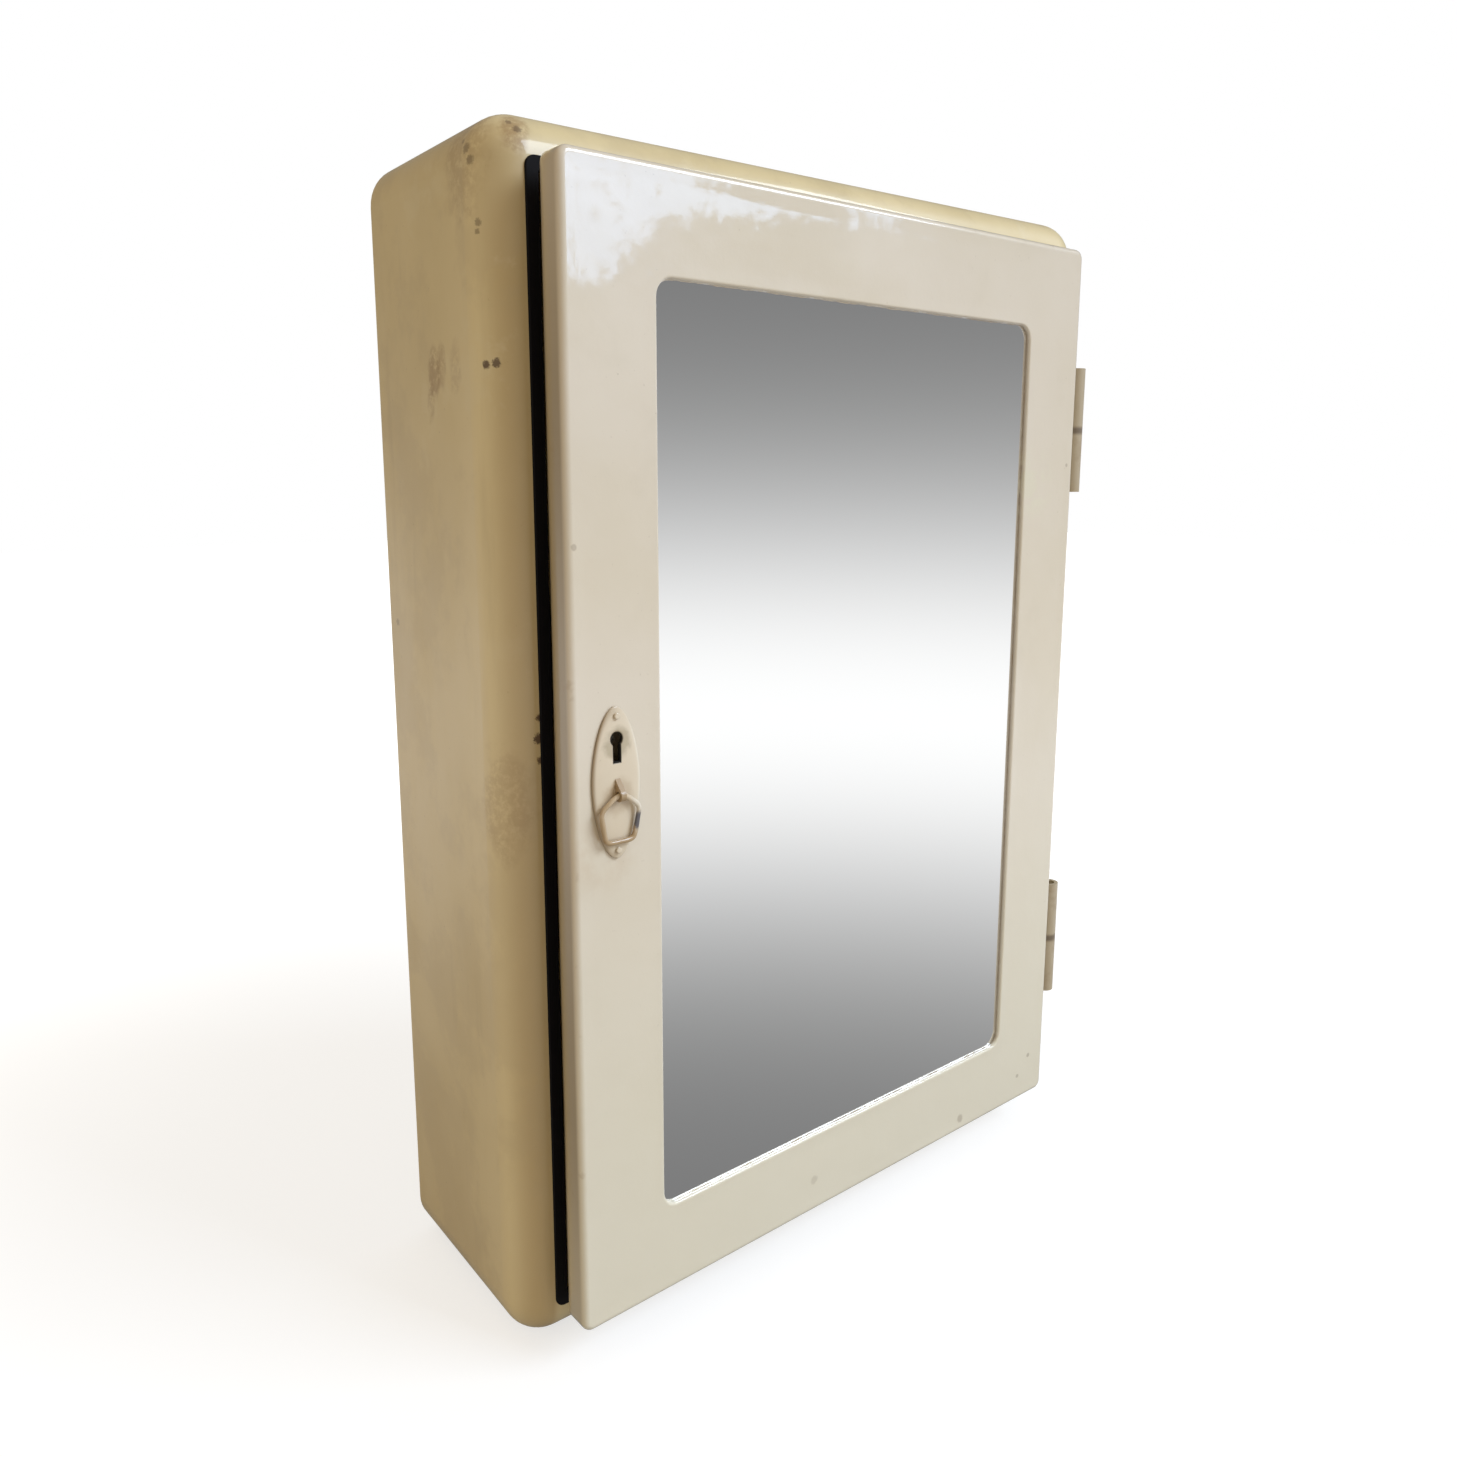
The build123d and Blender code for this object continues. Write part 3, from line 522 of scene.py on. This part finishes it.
# %% The ring
def skin(name, points, faces=None):
    """A closed mesh from a grid of points [along, round, xyz] that joins up both ways. Its quads turn
    outwards when its volume, a sixth of the sum of a . (b x c) over all triangles, is positive."""
    rows, columns = points.shape[:2]
    if faces is None:
        a, b = np.meshgrid(np.arange(rows), np.arange(columns), indexing="ij")
        right, down = (b + 1) % columns, (a + 1) % rows
        faces = np.stack([a * columns + b, a * columns + right,
                          down * columns + right, down * columns + b], -1)
    faces = faces.reshape(-1, 4)
    p, q, r, s = np.moveaxis(points.reshape(-1, 3)[faces], 1, 0)
    volume = ((p * np.cross(q, r)).sum() + (p * np.cross(r, s)).sum()) / 6
    faces = faces if volume > 0 else faces[:, ::-1]
    mesh = bpy.data.meshes.new(name)
    mesh.from_pydata(points.reshape(-1, 3).tolist(), [], faces.tolist())
    mesh.shade_smooth()
    piece = bpy.data.objects.new(name, mesh)
    bpy.context.scene.collection.objects.link(piece)
    print(name, len(faces), "quads,", round(abs(volume) * 1e9), "mm3")
    return piece


def rounded_path(corners, radius, count):
    """Even points on a closed path of straight runs whose corners are arcs: each corner is a blend
    of the two runs beside it, weighted by a smooth average of the path over the arc's length."""
    corners = np.asarray(corners, float)
    runs = np.roll(corners, -1, 0) - corners
    length = np.linalg.norm(runs, axis=1)
    ends = np.concatenate([[0], np.cumsum(length)])
    closed_corners = np.vstack([corners, corners[:1]])
    s = np.arange(count) / count * ends[-1]
    spread = np.linspace(-radius, radius, 17)
    weight = 1 + np.cos(np.linspace(-pi, pi, 17))
    sample = (s[:, None] + spread) % ends[-1]
    path = [(np.interp(sample, ends, closed_corners[:, k]) * weight).sum(1) / weight.sum()
            for k in range(2)]
    return np.stack(path, -1)


wire = 0.0011
RING_Z, RING_DROP, LEAN = -0.0030, 0.0183, 0.0008
RING_Y = PLATE_TOP - 0.0019
corners = [(0.0017, 0), (0.0089, -0.0055), (0.0064, -RING_DROP),
           (-0.0064, -RING_DROP), (-0.0089, -0.0055), (-0.0017, 0)]
line = rounded_path(corners, 0.0046, 220)
ahead = np.roll(line, -1, 0) - np.roll(line, 1, 0)
ahead /= np.linalg.norm(ahead, axis=1, keepdims=True)
side = np.stack([ahead[:, 1], -ahead[:, 0]], -1)
along = np.linspace(0, 2 * pi, len(line), endpoint=False)
SIDES = 28
around_wire = np.linspace(0, 2 * pi, SIDES, endpoint=False)
lump = 1 + 0.05 * np.sin(3 * along + 1) + 0.03 * np.sin(7 * along + 2)
swell = wire * 0.93 * lump[:, None] * np.ones(SIDES)
flat = swell * (0.93 + 0.05 * np.cos(2 * along)[:, None])
x = KEY_X + line[:, 0, None] + side[:, 0, None] * swell * np.cos(around_wire)
z = RING_Z + line[:, 1, None] + side[:, 1, None] * swell * np.cos(around_wire)
y = RING_Y - line[:, 1, None] / RING_DROP * LEAN + flat * np.sin(around_wire)
ring = skin("painted_ring", hung(np.stack([x, y, z], -1)))
ring.data.materials.append(ring_paint.material)
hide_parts("pull_ring")
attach(ring, "ring")

# %% [markdown]
# Where the paint meets the glass it forms a thin, uneven bead. A profile is carried
# round the window as a function of the way along it, and slow waves added together
# change the bead's width, so that it looks brushed and not drawn.

# %% The bead round the glass
def outline(half_w, half_h, radius, per_width, per_height, per_corner):
    """Points (x, z) and outward normals of a rounded rectangle, from the foot of its right side upwards
    and round. The count of points doesn't depend on the size, so two outlines match point by point."""
    places, normals = [], []
    for quarter in range(4):
        turn_by = quarter * pi / 2
        long, wide = (half_h, half_w) if quarter % 2 == 0 else (half_w, half_h)
        count = per_height if quarter % 2 == 0 else per_width
        run = np.linspace(radius - long, long - radius, count, endpoint=False)
        angle = np.linspace(0, pi / 2, per_corner, endpoint=False)
        a = np.concatenate([np.full(count, wide), wide - radius + radius * np.cos(angle)])
        b = np.concatenate([run, long - radius + radius * np.sin(angle)])
        tilt = np.concatenate([np.zeros(count), angle]) + turn_by
        turned = a * cos(turn_by) - b * sin(turn_by), a * sin(turn_by) + b * cos(turn_by)
        places.append(np.stack(turned, -1))
        normals.append(np.stack([np.cos(tilt), np.sin(tilt)], -1))
    return np.concatenate(places), np.concatenate(normals)


GLASS_DEPTH = 0.0021
path, away = outline(WINDOW_HALF[0] + 0.0003, WINDOW_HALF[1] + 0.0003, 0.0070, 260, 420, 14)
t = np.arange(len(path)) / len(path)
waves = ((37, 0.4, 2.2), (83, 2.1, 3.0), (151, 1.0, 4.0), (263, 4.0, 5.0))
ragged = sum(np.sin(2 * pi * count * t + start) / weight for count, start, weight in waves)
width = (0.00060 + 0.00024 * np.clip(ragged, -1.2, 1.6))[:, None]
height = (0.00014 + 0.00005 * np.sin(2 * pi * 29 * t))[:, None]
arc = np.linspace(0, pi, 10)
glass_front = DOOR_FRONT + GLASS_DEPTH
inward = np.concatenate([width / 2 - width / 2 * np.cos(arc), width * np.linspace(0.9, 0.1, 3)], 1)
rise = np.concatenate([height * np.sin(arc), np.zeros((len(path), 3))], 1) + 0.00001
place_x = path[:, 0, None] - away[:, 0, None] * inward
place_z = path[:, 1, None] - away[:, 1, None] * inward
bead = skin("paint_bead", hung(np.stack([place_x, glass_front - rise, place_z], -1)))
bead.data.materials.append(door_paint.material)
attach(bead, "door")

# %% [markdown]
# A mirror of that age has ground edges. The glass is a thick plate that stands almost
# level with the frame: rings of the same outline, a little smaller at the front and the
# back where the edge is ground off, with one flat face on each side.

# %% The mirror's glass
GLASS_CORNER = 0.0025
ground_edge = ((0.0008, 0.0), (0.0002, 0.0004), (0.0, 0.0010), (0.0, 0.0045), (0.0003, 0.0054))
edge_rings = []
for smaller, depth in ground_edge:
    edge_line, _ = outline(*(half - smaller for half in GLASS_HALF), GLASS_CORNER, 6, 8, 8)
    edge_y = np.full(len(edge_line), DOOR_FRONT + GLASS_DEPTH + depth)
    edge_rings.append(np.stack([edge_line[:, 0], edge_y, edge_line[:, 1]], -1))
count = len(edge_line)
first = np.arange(count)
following = (first + 1) % count
one_band = np.stack([first + count, following + count, following, first], -1)
glass_faces = [face for row in range(len(edge_rings) - 1) for face in (one_band + row * count).tolist()]
glass_faces += [first.tolist(), (first[::-1] + (len(edge_rings) - 1) * count).tolist()]
sheet_mesh = bpy.data.meshes.new("mirror_sheet")
sheet_mesh.from_pydata(hung(np.concatenate(edge_rings)).tolist(), [], glass_faces)
sheet = bpy.data.objects.new("mirror_sheet", sheet_mesh)
bpy.context.scene.collection.objects.link(sheet)
sheet_mesh.materials.append(mirror.material)
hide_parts("mirror_glass")
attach(sheet, "door")
print("mirror", [round(2000 * half, 1) for half in GLASS_HALF], "mm")

# %% [markdown]
# The door's outer pan is pressed from one sheet, and no pressed sheet is flat. Its skin
# is a profile carried round two outlines at once: the window's and the door's. Rows of
# the profile near the glass follow the first, rows on the flange follow the second, and
# the rows between them blend the two. The face then sinks a tenth of a millimetre in
# slow dents, and the edge of the window is as tight as the real one.

# %% The profile of the door's skin
SHEET, RIM, BEND = 0.0010, 0.0012, 0.0026
HALVES, WINDOW_CORNER, DOOR_CORNER = (HALF_W, HALF_H), 0.0070, 0.0048
inner_line, inner_out = outline(*WINDOW_HALF, WINDOW_CORNER, 110, 150, 12)
outer_line, outer_out = outline(*HALVES, DOOR_CORNER, 110, 150, 12)
quarter = np.linspace(0, pi / 2, 8)
blend_rows = np.concatenate([[0.0, 0.006, 0.02], np.linspace(0.05, 0.95, 25), [0.98, 0.994, 1.0]])


def rows(blend, from_window, from_edge, depth):
    """Profile rows as columns: blend, way from the window's edge, way from the door's edge, depth."""
    columns = (np.asarray(value, float) for value in (blend, from_window, from_edge, depth))
    return np.stack(np.broadcast_arrays(*columns), -1)


FOOT = GLASS_DEPTH - 0.00005
CUT = 0.0003
wall_front = rows(0, 0.0, 0, np.linspace(FOOT, RIM * 1.1, 4))
wall_roll = rows(0, RIM - RIM * np.cos(quarter), 0, RIM - RIM * np.sin(quarter))[:-1]
front_face = rows(blend_rows, RIM, BEND, 0.0)
outer_bend = rows(1, 0, BEND - BEND * np.sin(quarter), BEND - BEND * np.cos(quarter))[1:]
flange_out = rows(1, 0, 0.0, np.linspace(BEND * 1.2, DOOR_DEPTH - CUT, 5))
flange_foot = rows(1, 0, [CUT, SHEET - CUT], DOOR_DEPTH)
flange_in = rows(1, 0, SHEET, np.linspace(DOOR_DEPTH - CUT, BEND * 1.2, 5))
inner_bend = BEND - (BEND - SHEET) * np.cos(quarter), BEND - (BEND - SHEET) * np.sin(quarter)
back_face = rows(blend_rows[::-1], RIM + SHEET, BEND, SHEET)
roll_way, roll_depth = (RIM - SHEET + 0.0004) * (1 - np.sin(quarter)), 0.0006 * (1 - np.cos(quarter))
back_roll = rows(0, SHEET + roll_way, 0, SHEET + roll_depth)[1:]
wall_back = rows(0, SHEET, 0, np.linspace(0.0017, FOOT, 3))
profile = np.concatenate([wall_front, wall_roll, front_face, outer_bend, flange_out, flange_foot, flange_in,
                          rows(1, 0, *inner_bend)[:-1], back_face, back_roll, wall_back])
print("profile", len(profile), "rows")

# %% The skin carried round the door
share, near, far, deep = profile.T[:, None, :]
skin_x, skin_z = (
    (1 - share) * (inner_line[:, k, None] + inner_out[:, k, None] * near)
    + share * (outer_line[:, k, None] - outer_out[:, k, None] * far) for k in (0, 1))
slow = np.sin(61 * skin_x + 1) * np.sin(43 * skin_z + 2) + 0.6 * np.sin(23 * skin_z + 37 * skin_x)
faded = np.clip(share * 8, 0, 1) * np.clip((1 - share) * 8, 0, 1) * (deep <= SHEET)
sunk = deep + 0.00006 * (1.6 + slow) * faded
pan = np.stack([skin_x, DOOR_FRONT + sunk, skin_z], -1)
along, across = pan.shape[:2]
a, b = np.meshgrid(np.arange(along), np.arange(across), indexing="ij")
right, down = (b + 1) % across, (a + 1) % along
quads = np.stack([a * across + b, a * across + right, down * across + right, down * across + b], -1)
print("door's skin", pan.shape[:2], "points")

# %% [markdown]
# A key has to pass through the door behind the plate. The quads of the front and of the
# back that lie inside an oval are left out, and short quads join the rims of both holes,
# so that the skin stays closed. Front row j and its partner lie opposite each other.

# %% The hole behind the plate
middle_x, middle_z = (pan.reshape(-1, 3)[quads].mean(2)[..., k] for k in (0, 2))
key_room = ((middle_x - KEY_X) / 0.0045) ** 2 + ((middle_z - KEY_Z + 0.003) / 0.0100) ** 2 < 1
front_start = len(wall_front) + len(wall_roll)
front_stop = front_start + len(blend_rows) - 1
back_stop = len(profile) - len(wall_back) - len(back_roll) - 1
front_hole = key_room & (b >= front_start) & (b < front_stop)


def opposite(j):
    """The row of the back face that lies behind row j of the front face."""
    return back_stop - (j - front_start)


back_hole = np.zeros_like(front_hole)
bridge = []
for i, j in zip(*np.nonzero(front_hole)):
    back_hole[i, opposite(j) - 1] = True
    at = {(0, 0): (i, j), (0, 1): (i, j + 1), (1, 1): (i + 1, j + 1), (1, 0): (i + 1, j)}
    for (di, dj), pair in (((-1, 0), ((0, 0), (0, 1))), ((1, 0), ((1, 1), (1, 0))),
                           ((0, -1), ((1, 0), (0, 0))), ((0, 1), ((0, 1), (1, 1)))):
        if not front_hole[(i + di) % along, j + dj]:
            (r0, c0), (r1, c1) = (at[k] for k in pair)
            corners = (r1, c1), (r1, opposite(c1)), (r0, opposite(c0)), (r0, c0)
            bridge.append([row * across + column for row, column in corners])
kept = quads[~(front_hole | back_hole)]
door_skin = skin("pressed_door", hung(pan), np.concatenate([kept, np.array(bridge)]))
door_skin.data.materials.append(door_paint.material)
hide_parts("door_pan")
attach(door_skin, "door")

# %% [markdown]
# The plate is a pointed oval with a soft rim. Rays from the middle of the keyhole's head
# meet the keyhole's edge and the plate's edge, and the skin is stretched between them:
# one parameter turns the ray, the other goes along it. The plate's edge is where
# |x/a|^n + |z/b|^n = 1, which is an ellipse for n = 2 and more pointed for a smaller n.

# %% The plate
POINTED = 1.82
angle = np.linspace(0, 2 * pi, 240, endpoint=False)
ray_x, ray_z = np.cos(angle), np.sin(angle)
with np.errstate(divide="ignore"):
    slot = np.minimum(SLOT_W / np.abs(ray_x), SLOT_L / np.abs(ray_z))
key_edge = np.maximum(HEAD_R, np.where(ray_z < 0, slot, 0))


def oval(x, z):
    """0 at the middle of the plate and 1 at its edge: (|x/a|^n + |z/b|^n)^(1/n)."""
    wide, tall = np.abs(x / PLATE_W), np.abs((z + KEY_Z - PLATE_Z) / PLATE_H)
    return (wide ** POINTED + tall ** POINTED) ** (1 / POINTED)


near_edge, far_edge = np.zeros_like(angle), np.full_like(angle, 0.07)
for _ in range(40):
    half = (near_edge + far_edge) / 2
    inside_plate = oval(half * ray_x, half * ray_z) < 1
    near_edge, far_edge = np.where(inside_plate, half, near_edge), np.where(inside_plate, far_edge, half)
part = np.concatenate([np.linspace(0, 0.12, 6), np.linspace(0.16, 0.9, 16), np.linspace(0.92, 1, 10)])
length = key_edge[:, None] + (near_edge - key_edge)[:, None] * part
plate_x, plate_z = ray_x[:, None] * length, ray_z[:, None] * length
rim_way = np.clip(oval(plate_x, plate_z), 0, 1)
top = 0.0007 + 0.00085 * np.sqrt(1 - rim_way ** 5) - 0.0003 * np.exp(-(length - key_edge[:, None]) / 0.0004)
plate_x = np.concatenate([plate_x, plate_x[:, ::-1]], 1)
plate_z = np.concatenate([plate_z, plate_z[:, ::-1]], 1)
lift_off = np.concatenate([top, np.full_like(top, -0.00015)], 1)
plate = skin("oval_plate", hung(np.stack([KEY_X + plate_x, DOOR_FRONT - lift_off, KEY_Z + plate_z], -1)))
plate.data.materials.append(plate_paint.material)
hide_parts("escutcheon")
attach(plate, "door")

# %% [markdown]
# The studio: a white room and one window. The world is white to the camera. To the
# mirror it is a bright horizon that fades to grey above and below, which is the soft
# band that runs across the glass. For the paint it is neutral on the right and warm on
# the left, as in a room with a wooden wall, and a large lamp stands front right.


# %% World
world = bpy.data.worlds.new("studio")
bpy.context.scene.world = world
world.use_nodes = True
sky = Finish("studio", world.node_tree)
direction = sky.node("ShaderNodeTexCoord", {}, out=0)
x, y, z = sky.axes(direction)
lift = (z.do("ARCSINE", z) - radians(-11.8)) / radians(11.0)
band = 0.195 + 0.82 * lift.do("EXPONENT", 0 - lift * lift)
reflected = sky.node("ShaderNodeCombineColor", {}, band, band, band)
room = sky.mix(sky.ramp(x, -0.35, 0.55), (0.60, 0.47, 0.29), (0.62, 0.62, 0.63))
paths = sky.node("ShaderNodeLightPath", {}).socket.node.outputs
shiny = Line(sky, paths["Is Glossy Ray"]).most(Line(sky, paths["Is Transmission Ray"]))
seen = sky.mix(shiny, room, reflected)
seen = sky.mix(Line(sky, paths["Is Camera Ray"]), seen, (1.0, 1.0, 1.0))
sky.feed(world.node_tree.nodes["Background"].inputs["Color"], seen)


def lamp(name, azimuth, elevation, distance, size, power, colour=(1, 1, 1)):
    """A square lamp that looks at the cabinet; azimuth 0 is straight in front, positive to the right."""
    data = bpy.data.lights.new(name, "AREA")
    data.shape, data.size, data.size_y = "RECTANGLE", size[0], size[1]
    data.energy, data.color = power, colour
    thing = bpy.data.objects.new(name, data)
    a, e = radians(azimuth), radians(elevation)
    aim = Vector((0, -0.06, 0))
    thing.location = aim + distance * Vector((sin(a) * cos(e), -cos(a) * cos(e), sin(e)))
    thing.rotation_euler = (aim - thing.location).to_track_quat("-Z", "Y").to_euler()
    bpy.context.scene.collection.objects.link(thing)


lamp("key", 40, 36, 4.5, (2.4, 1.8), 164, (0.74, 0.85, 1.0))

# %% [markdown]
# The glare at the door's top corner is a window in the room, seen in the gloss. A card
# that only shiny rays can see stands where that window would be: its corners are points
# of the picture, sent out from the camera and turned back by the door.

# %% The window's reflection
normal = np.array([-sin(AJAR), cos(AJAR), 0.0])
on_face = hung((0.0, DOOR_FRONT, 0.0))
eye = np.array(camera.location)
view = np.array(turn)


def mirrored(px, py, distance):
    """Where a ray through a picture point is, that far from the camera, once the door has turned it back."""
    ray = view @ np.array([(px - MIDDLE_X) / FOCAL, (MIDDLE_Y - py) / FOCAL, -1.0])
    ray /= np.linalg.norm(ray)
    point = eye + ray * distance
    return point - 2 * np.dot(point - on_face, normal) * normal


CARD_DISTANCE = 2.2
upper_edge = [(545, 148), (613, 153), (673, 166), (760, 184), (893, 211), (1000, 228), (1090, 242)]
middle_edge = [(545, 262), (596, 244), (640, 206), (728, 208), (893, 221), (1000, 236), (1090, 250)]
lower_edge = [(545, 304), (612, 286), (670, 244), (740, 232), (893, 234), (1000, 246), (1090, 258)]
corners = [tuple(mirrored(*p, CARD_DISTANCE)) for p in upper_edge + middle_edge + lower_edge]
count = len(upper_edge)
card_mesh = bpy.data.meshes.new("window_card")
card_mesh.from_pydata(corners, [], [(row + k, row + k + 1, row + count + k + 1, row + count + k)
                                    for row in (0, count) for k in range(count - 1)])
fade = card_mesh.attributes.new("fade", "FLOAT", "POINT")
fade.data.foreach_set("value", [1.0] * (2 * count) + [0.0] * count)
card = bpy.data.objects.new("window_card", card_mesh)
bpy.context.scene.collection.objects.link(card)
glow = bpy.data.materials.new("window_glow")
glow.use_nodes = True
glow.node_tree.nodes.clear()
card_paint = Finish("window_glow", glow.node_tree)
leaves = card_paint.noise(card_paint.object_place(), 26.0, 8.0, 0.82)
kept_light = card_paint.node("ShaderNodeAttribute", {"attribute_name": "fade"}, out=2)
through = card_paint.ramp(leaves + kept_light * 0.22, 0.57, 0.68)
shade = card_paint.mix(through, (0.0, 0.0, 0.0), (0.46, 0.66, 1.0))
shine = card_paint.node("ShaderNodeEmission", {}, shade, 6.5)
out = glow.node_tree.nodes.new("ShaderNodeOutputMaterial")
card_paint.feed(out.inputs["Surface"], shine)
card_mesh.materials.append(glow)
card.visible_camera = card.visible_diffuse = card.visible_shadow = False

# %% [markdown]
# The floor is pale and keeps a soft shadow. To the camera it glows a little, so that it
# runs into the white of the room without a horizon.

# %% Floor
floor_mesh = bpy.data.meshes.new("floor")
floor_z = cad_box[0].z - 0.0004
span = 6.0
floor_corners = [(x, y, floor_z) for x, y in ((-span, -span), (span, -span), (span, span), (-span, span))]
floor_mesh.from_pydata(floor_corners, [], [(0, 1, 2, 3)])
floor = bpy.data.objects.new("floor", floor_mesh)
bpy.context.scene.collection.objects.link(floor)
floor_material = bpy.data.materials.new("floor")
floor_material.use_nodes = True
floor_material.node_tree.nodes.clear()
ground = Finish("floor", floor_material.node_tree)
soft = ground.node("ShaderNodeBsdfDiffuse", {}, (0.400, 0.410, 0.425))
way_out = ground.node("ShaderNodeVectorMath", {"operation": "DISTANCE"}, ground.object_place(),
                      (0.0, -0.05, floor_z), out=1)
glow_level = 0.68 + ground.ramp(way_out, 0.25, 0.90) * 0.32
white = ground.node("ShaderNodeCombineColor", {}, glow_level, glow_level, glow_level)
glowing = ground.node("ShaderNodeEmission", {}, white, 1.0)
camera_floor = ground.node("ShaderNodeAddShader", {}, soft, glowing)
real_floor = ground.node("ShaderNodeBsdfDiffuse", {}, (0.62, 0.60, 0.57))
is_camera = Line(ground, ground.node("ShaderNodeLightPath", {}).socket.node.outputs["Is Camera Ray"])
both = ground.node("ShaderNodeMixShader", {}, is_camera, real_floor, camera_floor)
ground.feed(floor_material.node_tree.nodes.new("ShaderNodeOutputMaterial").inputs["Surface"], both)
floor_mesh.materials.append(floor_material)
floor.visible_glossy = False

# %% [markdown]
# The last cell sets the colour view to Standard.

# %% Finish
bpy.context.scene.view_settings.view_transform = "Standard"
